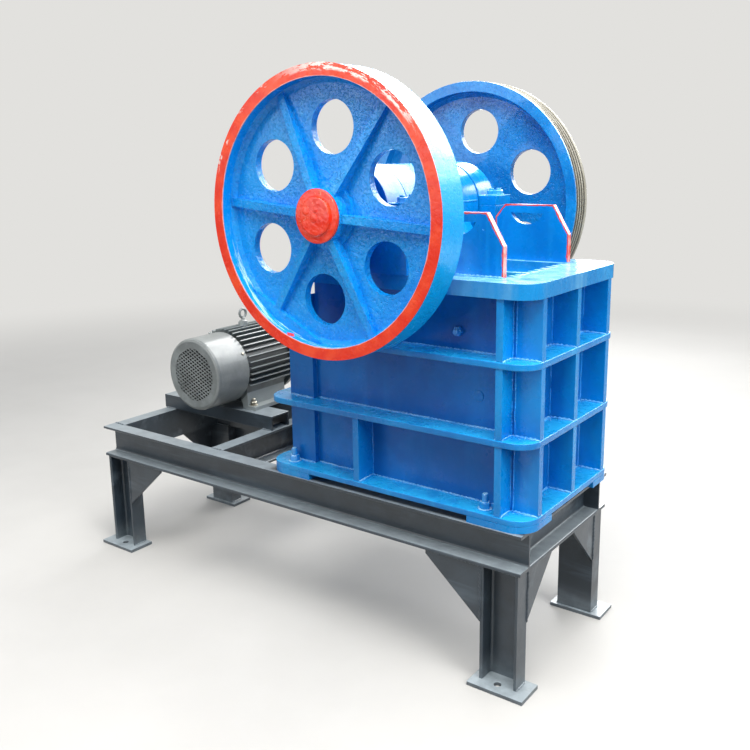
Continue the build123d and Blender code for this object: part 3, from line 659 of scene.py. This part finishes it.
def bodyBeads():
    b = body
    thin = bead["fine"]
    thick = bead["floor"]
    shapes = []
    floors = (base["z1"], band1["z1"], band2["z1"])
    roofs = (band1["z0"], band2["z0"], deck["z0"])
    face = frontWall["x1"]
    ribYs = (-(b["side"] - b["ribHalf"]), 0.0, b["side"] - b["ribHalf"])
    x0, x1 = b["endRib"]
    for z0, z1 in zip(floors, roofs):
        for s in (-1, 1):
            wall = s * b["wall"]
            side = s * b["side"]
            shapes.append(beadLine((b["blockFront"], wall, z0), (x0, wall, z0), thick * 0.8))
            ends = ((rearWall["x0"], s * b["block"], z0), (b["blockFront"], s * b["block"], z0))
            shapes.append(beadLine(*ends, thick))
            shapes += crumbLine(*ends, (0, s, 0), bead["close"])
            shapes.append(beadLine((x1, side, z0), (frontRib["x1"], side, z0), thick))
            corner = (x1, side, z0)
            reach = bead["cornerLong"]
            shapes += crumbLine(corner, (x1 + reach, side, z0), (0, s, 0), bead["cornerWide"])
            shapes += crumbLine(corner, (x1, side + s * reach, z0), (1, 0, 0), bead["cornerWide"])
            for x in b["endRib"]:
                shapes.append(beadLine((x, side, z0), (x, s * sideRib["y1"], z0), thick))
                shapes.append(beadLine((x, side, z0), (x, side, z1), thin))
            for y in (side, side - s * 2 * b["ribHalf"]):
                shapes.append(beadLine((face, y, z0), (face, y, z1), thin))
        for y in (-b["ribHalf"], b["ribHalf"]):
            shapes.append(beadLine((face, y, z0), (face, y, z1), thin))
        for y in ribYs:
            for edge in (-1, 1):
                line = y + edge * b["ribHalf"]
                if abs(line) < b["side"] - 0.001:      # not on the outer faces
                    shapes.append(beadLine((face, line, z0), (frontRib["x1"], line, z0), thick))
        for y0, y1 in zip(ribYs[:-1], ribYs[1:]):
            ends = ((face, y0 + b["ribHalf"], z0), (face, y1 - b["ribHalf"], z0))
            shapes.append(beadLine(*ends, thick))
            shapes += crumbLine(*ends, (1, 0, 0), bead["wide"])
            shapes += crumbLine(*ends, (1, 0, 0), bead["close"])
    z0, z1 = base["z1"], band1["z0"]
    for s in (-1, 1):
        wall = s * b["wall"]
        for x in b["midRib"]:
            shapes.append(beadLine((x, wall, z0), (x, s * sideRib["y1"], z0), thick))
            shapes.append(beadLine((x, wall, z0), (x, wall, z1), thin))
        ends = ((cheekBox["x0"], wall, deck["z1"]), (cheekBox["x1"], wall, deck["z1"]))
        shapes.append(beadLine(*ends, thick))
        shapes += crumbLine(*ends, (0, s, 0), bead["close"])
    seamX = shaftX + barrel["radius"] * math.cos(barrel["seam"])
    seamZ = shaftZ + barrel["radius"] * math.sin(barrel["seam"])
    shapes.append(beadLine((seamX, -barrel["half"], seamZ), (seamX, barrel["half"], seamZ), thin))
    points, faces = joined(shapes)
    meshPiece("body_welds", points, faces, blueBeadLit, "frame")


# The stand's channels, two gussets at each leg, one along the stand and one across its end, and the
# rails' ends on its top
beam = corners("stand_beam_near")
channels = {"end": beam["x1"], "half": -beam["y0"], "top": beam["z1"], "low": beam["z0"], "flange": 0.048,
            "gussetHigh": 0.145, "gussetLong": 0.155, "gussetIn": 0.001,
            "endGussetHigh": 0.140, "endGussetIn": 0.050, "railWide": 0.083, "railOnEnd": 0.046,
            "railOnCrossing": 0.040}

def standBeads():
    c = channels
    top, low = c["top"], c["low"]
    inner = c["half"] - c["flange"]
    legs = corners("leg_near_front")
    tip = -legs["y0"]
    crossing = corners("stand_cross_channel")
    rails = corners("motor_rails")
    lines = []
    for s in (-1, 1):
        for e in (-1, 1):
            x0 = e * legs["x0"]
            x1 = e * legs["x1"]
            lines.append(((e * c["end"], s * inner, top), (e * (c["end"] - c["flange"]), s * inner, top)))
            lines.append(((x0, s * tip, low), (x1, s * tip, low)))
            for x in (x0, x1):
                lines.append(((x, s * tip, legs["z0"]), (x, s * (tip - c["flange"]), legs["z0"])))
            y = s * (tip - c["gussetIn"])
            lines.append(((x0, y, low - c["gussetHigh"]), (x0, y, low)))
            lines.append(((e * (legs["x0"] - c["gussetLong"]), s * tip, low), (x0, s * tip, low)))
            y = s * (tip - c["endGussetIn"])
            lines.append(((x1, y, low - c["endGussetHigh"]), (x1, y, low)))
        lines.append(((crossing["x0"], s * inner, top), (crossing["x1"], s * inner, top)))
    for y in (rails["y0"], rails["y0"] + c["railWide"], rails["y1"] - c["railWide"], rails["y1"]):
        lines.append(((-c["end"], y, top), (-c["end"] + c["railOnEnd"], y, top)))
        lines.append(((crossing["x0"], y, top), (crossing["x0"] + c["railOnCrossing"], y, top)))
    points, faces = joined([beadLine(p, q, bead["stand"]) for p, q in lines])
    meshPiece("stand_welds", points, faces, stand, "frame")


bodyBeads()
standBeads()
print("welds done")


# Sizes across the flats, heights of head or nut, radii of washer and stud, and the stud's length above
boltSizes = {
    "base": {"across": 0.024, "high": 0.016, "washer": 0.018, "stud": 0.020, "studR": 0.008},
    "cap": {"across": 0.022, "high": 0.011, "washer": 0.016, "stud": 0.005, "studR": 0.007},
    "wall": {"across": 0.022, "high": 0.012, "stud": 0.008, "studR": 0.007},
    "foot": {"across": 0.019, "high": 0.010, "washer": 0.014, "stud": 0.010, "studR": 0.006},
    "shield": {"across": 0.013, "high": 0.007},
}
washerThick = 0.0025

# Six-sided head or nut on a round washer, with a stud end above where there is one: turned forms
def hexBolt(centre, axis, turn, across, high, washer=0.0, stud=0.0, studR=0.0):
    w = washerThick if washer else 0.0
    r = across / math.sqrt(3)
    head = [(r * 0.98, w), (r, w + high * 0.08), (r, w + high * 0.85), (r * 0.86, w + high)]
    shapes = [turned(head, centre, axis, 6, turn)]
    if washer:
        disc = [(washer, 0), (washer, w * 0.8), (washer * 0.95, w)]
        shapes.append(turned(disc, centre, axis, 20))
    if stud:
        top = w + high + stud
        end = [(studR, w + high * 0.9), (studR, top - studR * 0.2), (studR * 0.8, top)]
        shapes.append(turned(end, centre, axis, 14))
    return joined(shapes)


# Places of the body's bolts, each turned differently; the plug is a low dome as (radius, height)
bolts = {"baseX": (0.650, 0.047), "baseY": 0.217, "capX": 0.141, "capY": (0.195, 0.234), "capHigh": 0.026,
         "wallX": (0.555, 0.250), "wallZ": 0.857, "plugX": 0.611, "plugZ": 0.705,
         "plug": ((0.014, 0), (0.013, 0.0016), (0.008, 0.0024), (0.002, 0.0026))}

def bodyBolts():
    b = bolts
    shapes = []
    capTop = shaftZ + b["capHigh"]
    for s in (-1, 1):
        for x in b["baseX"]:
            place = (x, s * b["baseY"], base["z1"])
            shapes.append(hexBolt(place, (0, 0, 1), 0.3 * x, **boltSizes["base"]))
        for x in (shaftX - b["capX"], shaftX + b["capX"]):
            for y in b["capY"]:
                shapes.append(hexBolt((x, s * y, capTop), (0, 0, 1), 9 * y, **boltSizes["cap"]))
        for x in b["wallX"]:
            place = (x, s * body["wall"], b["wallZ"])
            shapes.append(hexBolt(place, (0, s, 0), 2 * x, **boltSizes["wall"]))
    points, faces = joined(shapes)
    meshPiece("body_bolts", points, faces, blueBeadLit, "frame", False)
    plugs = [turned(b["plug"], (b["plugX"], s * body["wall"], b["plugZ"]), (0, s, 0), 20) for s in (-1, 1)]
    points, faces = joined(plugs)
    meshPiece("wall_plugs", points, faces, blueWallShaded, "frame", False)


# Nuts on the motor's feet, bolts round its end shield, screws round its fan cowl; angles in degrees
motorBolt = {"feetX": 0.108, "feetY": (0.0585, 0.1985), "footThick": 0.012, "shieldRadius": 0.112,
             "shieldIn": 0.016, "shieldAngles": (45, 135, 225, 315), "cowlRadius": 0.118, "cowlY": 0.024,
             "cowlAngles": (30, 150, 270), "screw": ((0.006, -0.001), (0.0055, 0.0022), (0.003, 0.0032))}

def motorBolts():
    m = motorBolt
    shapes = []
    feetTop = corners("motor_rails")["z1"] + m["footThick"]
    for x in (motor["x"] - m["feetX"], motor["x"] + m["feetX"]):
        for y in m["feetY"]:
            shapes.append(hexBolt((x, y, feetTop), (0, 0, 1), 11 * y + x, **boltSizes["foot"]))
    shieldY = corners("motor_end_shield")["y0"] + m["shieldIn"]
    for a in m["shieldAngles"]:
        x = motor["x"] + m["shieldRadius"] * math.cos(math.radians(a))
        z = motor["z"] + m["shieldRadius"] * math.sin(math.radians(a))
        shapes.append(hexBolt((x, shieldY, z), (0, 1, 0), a, **boltSizes["shield"]))
    for a in m["cowlAngles"]:
        axis = (math.cos(math.radians(a)), 0, math.sin(math.radians(a)))
        place = (motor["x"] + m["cowlRadius"] * axis[0], m["cowlY"], motor["z"] + m["cowlRadius"] * axis[2])
        shapes.append(turned(m["screw"], place, axis, 12))
    points, faces = joined(shapes)
    meshPiece("motor_bolts", points, faces, zinc, "frame", False)


# Lifting eye: a ring of round bar on a short neck and collar
eye = {"ring": 0.0145, "bar": 0.0045, "neck": 0.008, "collar": 0.013, "collarHigh": 0.004}

def liftingEye():
    e = eye
    box = corners("motor_eyebolt")
    x = (box["x0"] + box["x1"]) / 2
    y = (box["y0"] + box["y1"]) / 2
    middle = box["z1"] - e["ring"] - e["bar"]
    t = around(36)
    path = np.stack([np.full_like(t, x), y + e["ring"] * np.cos(t), middle + e["ring"] * np.sin(t)], 1)
    neckTop = middle - e["ring"] + 0.001 - box["z0"]
    profile = [(e["collar"], 0), (e["collar"], e["collarHigh"] * 0.8), (e["collar"] * 0.9, e["collarHigh"]),
               (e["neck"], e["collarHigh"] + 0.001), (e["neck"] * 0.8, neckTop * 0.6),
               (e["neck"] * 0.9, neckTop)]
    neck = turned(profile, (x, y, box["z0"]), (0, 0, 1), 24)
    points, faces = joined([tube(path, e["bar"], 12, True), neck])
    piece = meshPiece("motor_lifting_eye", points, faces, silver, "frame")
    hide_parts("motor_eyebolt")


# Ends of the shaft: a flat flange, a raised disc on it, and thick dabs of paint on the disc,
# each dab as (x, z, radius) from the shaft's axis
cap = {"flange": 0.0635, "disc": 0.0450, "flangeHigh": 0.0045, "high": 0.0108, "sunk": -0.002,
       "dabHigh": 0.0012}
dabs = ((-0.026, 0.012, 0.011), (0.004, 0.014, 0.006), (-0.002, -0.004, 0.011), (0.017, -0.006, 0.005))

def endCaps():
    c = cap
    flat = [(c["flange"], c["sunk"]), (c["flange"], c["flangeHigh"] - 0.002),
            (c["flange"] - 0.0012, c["flangeHigh"] - 0.0004), (c["flange"] - 0.004, c["flangeHigh"]),
            (c["disc"] + 0.0025, c["flangeHigh"]), (c["disc"] + 0.0006, c["flangeHigh"] + 0.001),
            (c["disc"], c["high"] - 0.002), (c["disc"] - 0.0012, c["high"] - 0.0004),
            (c["disc"] - 0.004, c["high"])]
    shapes = []
    for s, face in ((-1, wheel["nearFace"]), (1, wheel["farFace"])):
        shapes.append(turned(flat, (shaftX, face, shaftZ), (0, s, 0), 72))
        for x, z, r in dabs:
            place = (shaftX + x, face + s * c["high"], shaftZ + z)
            dome = [(r, -0.0004), (r * 0.86, c["dabHigh"] * 0.5), (r * 0.55, c["dabHigh"] * 0.9),
                    (r * 0.15, c["dabHigh"])]
            shapes.append(turned(dome, place, (0, s, 0), 20))
    points, faces = joined(shapes)
    piece = meshPiece("shaft_cap_castings", points, faces, red, "shaft", False)
    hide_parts("shaft_end_caps")


# Fixed jaw plate: its front a row of rounded trapezoid teeth, a triangle wave across Y with its tips
# and roots cut flat and smoothed; the same outline is carried from foot to top
jaw = {"teeth": 9, "depth": 0.020, "perTooth": 10, "chamfer": 0.0018}

def toothedJaw():
    j = jaw
    box = corners("fixed_jaw_plate")
    t = np.linspace(1, 0, j["teeth"] * j["perTooth"] + 1)
    wave = np.clip(1.6 * np.abs(2 * ((t * j["teeth"]) % 1.0) - 1) - 0.3, 0, 1)
    wave = wave * wave * (3 - 2 * wave)
    front = np.stack([box["x0"] + j["depth"] * wave, box["y0"] + (box["y1"] - box["y0"]) * t], 1)
    back = np.array([(box["x1"], box["y0"]), (box["x1"], box["y1"])])
    outline = np.concatenate([back, front])
    inward = np.concatenate([[(-1.0, 1.0), (-1.0, -1.0)], np.tile((1.0, 0.0), (len(front), 1))])
    levels = ((0, box["z0"]), (0, box["z1"] - j["chamfer"]), (j["chamfer"], box["z1"]))
    rings = [np.column_stack([outline + inward * k, np.full(len(outline), z)]) for k, z in levels]
    points = np.concatenate(rings)
    faces = ringFaces(len(levels), len(outline))
    piece = meshPiece("fixed_jaw_casting", points, faces, jawPaint, "frame", False)
    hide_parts("fixed_jaw_plate")


bodyBolts()
motorBolts()
liftingEye()
endCaps()
toothedJaw()
print("bolts, lifting eye, caps and jaw plate done")


# Fan guard: a flat ring, and two families of straight wires crossing at twice the lean as diamonds
grille = {"outer": 0.1078, "mesh": 0.086, "pitch": 0.0105, "wire": 0.0034, "lean": 0.52, "proud": 0.0015,
          "front": -0.0008, "back": 0.0012, "overlap": 0.002}
guardFront = corners("motor_fan_guard")["y0"] - grille["proud"]
guardCentre = np.array((motor["x"], guardFront, motor["z"]))

def fanGuard():
    g = grille
    t = around(72)
    circle = np.stack([np.cos(t), np.zeros_like(t), np.sin(t)], 1)
    # flat ring: four circles, its inside and outside radius at the front and at the back
    edges = ((g["mesh"], g["back"]), (g["outer"], g["back"]), (g["outer"], g["front"]),
             (g["mesh"], g["front"]))
    rings = [guardCentre + circle * r + np.array((0, y, 0)) for r, y in edges]
    flat = (np.concatenate(rings), [face[::-1] for face in ringFaces(len(edges), len(t), True)])
    wires = []
    count = int(g["mesh"] / g["pitch"])
    for lean in (g["lean"], -g["lean"]):
        along = np.array([math.cos(lean), 0, math.sin(lean)])
        across = np.array([-math.sin(lean), 0, math.cos(lean)])
        for k in range(-count, count + 1):
            off = k * g["pitch"]
            half = math.sqrt(max(0.0, g["mesh"] ** 2 - off ** 2)) + g["overlap"]
            path = guardCentre + across * off + along * np.linspace(-half, half, 2)[:, None]
            wires.append(tube(path, g["wire"] / 2, 6))
    points, faces = joined([flat] + wires)
    guard = meshPiece("motor_guard_mesh", points, faces, guardPaint, "frame", False)
    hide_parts("motor_fan_guard")


# Fan behind the guard: flat blades, each a thin box between two radii, in front of a disc
fan = {"blades": 8, "in": 0.02, "out": 0.098, "half": 0.0015, "front": 0.010, "deep": 0.022,
       "disc": 0.104, "hub": 0.03, "thick": 0.004, "back": 0.034}

def motorFan():
    n = fan
    profile = [(n["disc"], 0.0), (n["disc"], -n["thick"]), (n["hub"], -n["thick"])]
    shapes = [turned(profile, guardCentre + np.array((0, n["back"], 0)), (0, -1, 0), 48)]
    section = ((n["in"], -n["half"]), (n["out"], -n["half"]), (n["out"], n["half"]), (n["in"], n["half"]))
    sides = [(0, 3, 2, 1), (4, 5, 6, 7), (0, 1, 5, 4), (1, 2, 6, 5), (2, 3, 7, 6), (3, 0, 4, 7)]
    for k in range(n["blades"]):
        a = 2 * math.pi * k / n["blades"]
        u = np.array([math.cos(a), 0, math.sin(a)])
        v = np.array([-math.sin(a), 0, math.cos(a)])
        ends = [guardCentre + np.array((0, n["front"] + y, 0)) + u * r + v * w
                for y in (0.0, n["deep"]) for r, w in section]
        shapes.append((np.array(ends), sides))
    points, faces = joined(shapes)
    meshPiece("motor_fan", points, faces, dark, "frame", False)


# Tension spring: a helix of round wire along X, at an even pitch from one end to the other
spring = {"wire": 0.0035, "turns": 7, "perTurn": 28}

def tensionSpring():
    s = spring
    box = corners("tension_spring")
    t = np.linspace(0, 1, s["turns"] * s["perTurn"])
    a = 2 * math.pi * s["turns"] * t
    r = box["y1"] - s["wire"]
    x = box["x0"] + s["wire"] + (box["x1"] - box["x0"] - 2 * s["wire"]) * t
    path = np.stack([x, r * np.cos(a), (box["z0"] + box["z1"]) / 2 + r * np.sin(a)], 1)
    points, faces = tube(path, s["wire"], 10)
    coil = meshPiece("tension_coil", points, faces, steel, "frame")
    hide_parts("tension_spring")


fanGuard()
motorFan()
tensionSpring()
print("guard, fan and spring done")


# Softened edges: doubles merged, a narrow bevel on sharp edges only, shading led by the large faces
bevelWidths = {
    0.0022: ("base_flange", "lower_band_flange", "upper_band_flange", "deck_plate", "base_pads"),
    0.0016: ("front_ribs", "side_ribs", "front_wall", "side_wall_near", "side_wall_far", "rear_wall",
             "bearing_housings", "bearing_caps", "foot_plates", "leg_gussets", "motor_rails",
             "motor_terminal_box"),
    0.0012: ("flywheel_near", "flywheel_far", "stand_beam_near", "stand_beam_far", "stand_end_channels",
             "stand_cross_channel", "leg_near_front", "leg_near_rear", "leg_far_front", "leg_far_rear"),
}
soft = {"merge": 0.00002, "segments": 2, "sharpAngle": 38, "faceWeight": 50}

def soften():
    for width, names in bevelWidths.items():
        for name in names:
            obj = nodes[name]
            weld = obj.modifiers.new("Weld", "WELD")
            weld.merge_threshold = soft["merge"]
            bevel = obj.modifiers.new("Bevel", "BEVEL")
            bevel.width = width
            bevel.segments = soft["segments"]
            bevel.limit_method = "ANGLE"
            bevel.angle_limit = math.radians(soft["sharpAngle"])
            even = obj.modifiers.new("EvenNormals", "WEIGHTED_NORMAL")
            even.mode = "FACE_AREA"
            even.weight = soft["faceWeight"]
            even.keep_sharp = False


soften()
print("edges softened")


# Pale floor that fades into the backdrop's colour between two distances; seen is the pair of colours
# that it shows, lit the darker one that it throws back on the machine
backdrop = rgb(226, 225, 222)
ground = {"radius": 60, "sides": 96, "fade": (2.4, 6.0), "lit": rgb(132, 128, 122),
          "seen": (rgb(206, 204, 200), rgb(214, 212, 208)), "rough": 0.75}

def floorFinish():
    f = Finish("Floor")
    distance = (f.x * f.x + f.y * f.y) ** 0.5
    ray = f.node("ShaderNodeLightPath")
    tone = f.noise(2.2, 6, 0.6)
    pale = f.mix(tone.rise(0.3, 0.7) * 0.5, *ground["seen"])
    seen = ray["Is Camera Ray"].most(ray["Is Glossy Ray"])
    f.set(Base_Color=f.mix(seen, ground["lit"], pale), Roughness=ground["rough"])
    glow = f.node("ShaderNodeEmission", {}, {"Color": backdrop, "Strength": 1.0})[0]
    far = distance.rise(*ground["fade"]) * ray["Is Camera Ray"]
    faded = f.node("ShaderNodeMixShader", {}, {0: far, 1: f.surface, 2: glow})[0]
    f.put(f.out.inputs["Surface"], faded)
    return f


def addFloor():
    t = around(ground["sides"])
    points = np.stack([ground["radius"] * np.cos(t), ground["radius"] * np.sin(t), np.zeros_like(t)], 1)
    mesh = bpy.data.meshes.new("floor")
    mesh.from_pydata(points.tolist(), [], [tuple(range(ground["sides"]))])
    floor = bpy.data.objects.new("floor", mesh)
    bpy.context.collection.objects.link(floor)
    mesh.materials.append(floorFinish().data)


sky = {"colour": rgb(218, 224, 232), "strength": 0.42}

def addSky():                        # the backdrop's colour is seen and mirrored, the sky's gives the light
    world = bpy.data.worlds.new("Studio")
    bpy.context.scene.world = world
    world.use_nodes = True
    w = NodeMaker(world.node_tree)
    ray = w.node("ShaderNodeLightPath")
    light = w.node("ShaderNodeBackground", {}, {"Color": sky["colour"], "Strength": sky["strength"]})[0]
    plain = w.node("ShaderNodeBackground", {}, {"Color": backdrop})[0]
    seen = ray["Is Camera Ray"].most(ray["Is Glossy Ray"])
    either = w.node("ShaderNodeMixShader", {}, {0: seen, 1: light, 2: plain})[0]
    w.make("ShaderNodeOutputWorld", {}, {"Surface": either})


# Soft panels of light: size is the width, and also the height where none is given
lamps = {
    "roof": {"at": (0.9, -1.0, 3.9), "to": (0.2, -0.1, 0.8), "size": 3.0, "power": 190,
             "colour": (1.0, 0.99, 0.97)},
    "frontWindow": {"at": (4.3, -0.7, 2.9), "to": (0.4, 0, 0.7), "size": 2.6, "power": 120,
                    "colour": (1.0, 1.0, 1.0)},
    "sideFill": {"at": (-2.2, -4.2, 1.9), "to": (0.1, 0, 0.9), "size": 2.2, "power": 40,
                 "colour": (0.95, 0.98, 1.0)},
    "backFill": {"at": (-0.6, 4.4, 3.2), "to": (0.1, 0, 0.8), "size": 3.0, "power": 95,
                 "colour": (1.0, 1.0, 1.0)},
    "backWindow": {"at": (0.1, 4.1, 3.7), "to": (0.4, -0.3, 1.3), "size": 5.0, "high": 2.3, "power": 430,
                   "colour": (1.0, 1.0, 1.0), "glossOnly": True},
    "eastWindow": {"at": (3.2, 3.65, 3.05), "to": (0.63, -0.35, 1.3), "size": 2.0, "high": 1.5, "power": 62,
                   "colour": (0.96, 0.99, 1.0), "glossOnly": True},
    "lowWindow": {"at": (-1.5, 4.5, 1.7), "to": (0.6, 0, 1.0), "size": 3.0, "high": 1.5, "power": 110,
                  "colour": (0.97, 0.99, 1.0), "glossOnly": True},
}

def addLamps():
    for name, panel in lamps.items():
        lamp = bpy.data.lights.new(name, "AREA")
        lamp.shape = "RECTANGLE"
        lamp.size = panel["size"]
        lamp.size_y = panel.get("high", panel["size"])
        lamp.energy = panel["power"]
        lamp.color = panel["colour"]
        obj = bpy.data.objects.new(name, lamp)
        bpy.context.collection.objects.link(obj)
        obj.location = panel["at"]
        obj.rotation_euler = (Vector(panel["to"]) - Vector(panel["at"])).to_track_quat("-Z", "Y").to_euler()
        obj.visible_camera = False
        obj.visible_diffuse = not panel.get("glossOnly", False)


addFloor()
addSky()
addLamps()
print("floor, sky and", len(lamps), "lamps done")


# The photograph's camera: angles in degrees, focal length and middle in its pixels, frame its width;
# reach is how far it sees
shot = {"place": (1.5915, -1.9194, 1.2566), "azimuth": 36.54, "elevation": 12.34, "roll": -0.91,
        "focal": 862.9, "frame": 750, "middle": (374.7, 349.0), "sensor": 36, "reach": 200}

def cameraFromPhoto():
    az = math.radians(shot["azimuth"])
    el = math.radians(shot["elevation"])
    roll = math.radians(shot["roll"])
    back = Vector((math.sin(az) * math.cos(el), -math.cos(az) * math.cos(el), math.sin(el)))
    right = Vector((math.cos(az), math.sin(az), 0))
    up = back.cross(right)
    turnedRight = right * math.cos(roll) + up * math.sin(roll)
    turnedUp = up * math.cos(roll) - right * math.sin(roll)
    data = bpy.data.cameras.new("shot")
    cam = bpy.data.objects.new("shot", data)
    bpy.context.collection.objects.link(cam)
    grid = Matrix((turnedRight, turnedUp, back)).transposed().to_4x4()
    cam.matrix_world = Matrix.Translation(Vector(shot["place"])) @ grid
    data.sensor_fit = "HORIZONTAL"
    data.sensor_width = shot["sensor"]
    data.lens = shot["sensor"] * shot["focal"] / shot["frame"]
    half = shot["frame"] / 2
    data.shift_x = (half - shot["middle"][0]) / shot["frame"]
    data.shift_y = (shot["middle"][1] - half) / shot["frame"]
    data.clip_end = shot["reach"]
    bpy.context.scene.camera = cam


cameraFromPhoto()
bpy.context.scene.view_settings.view_transform = "Standard"
print("scene ready")
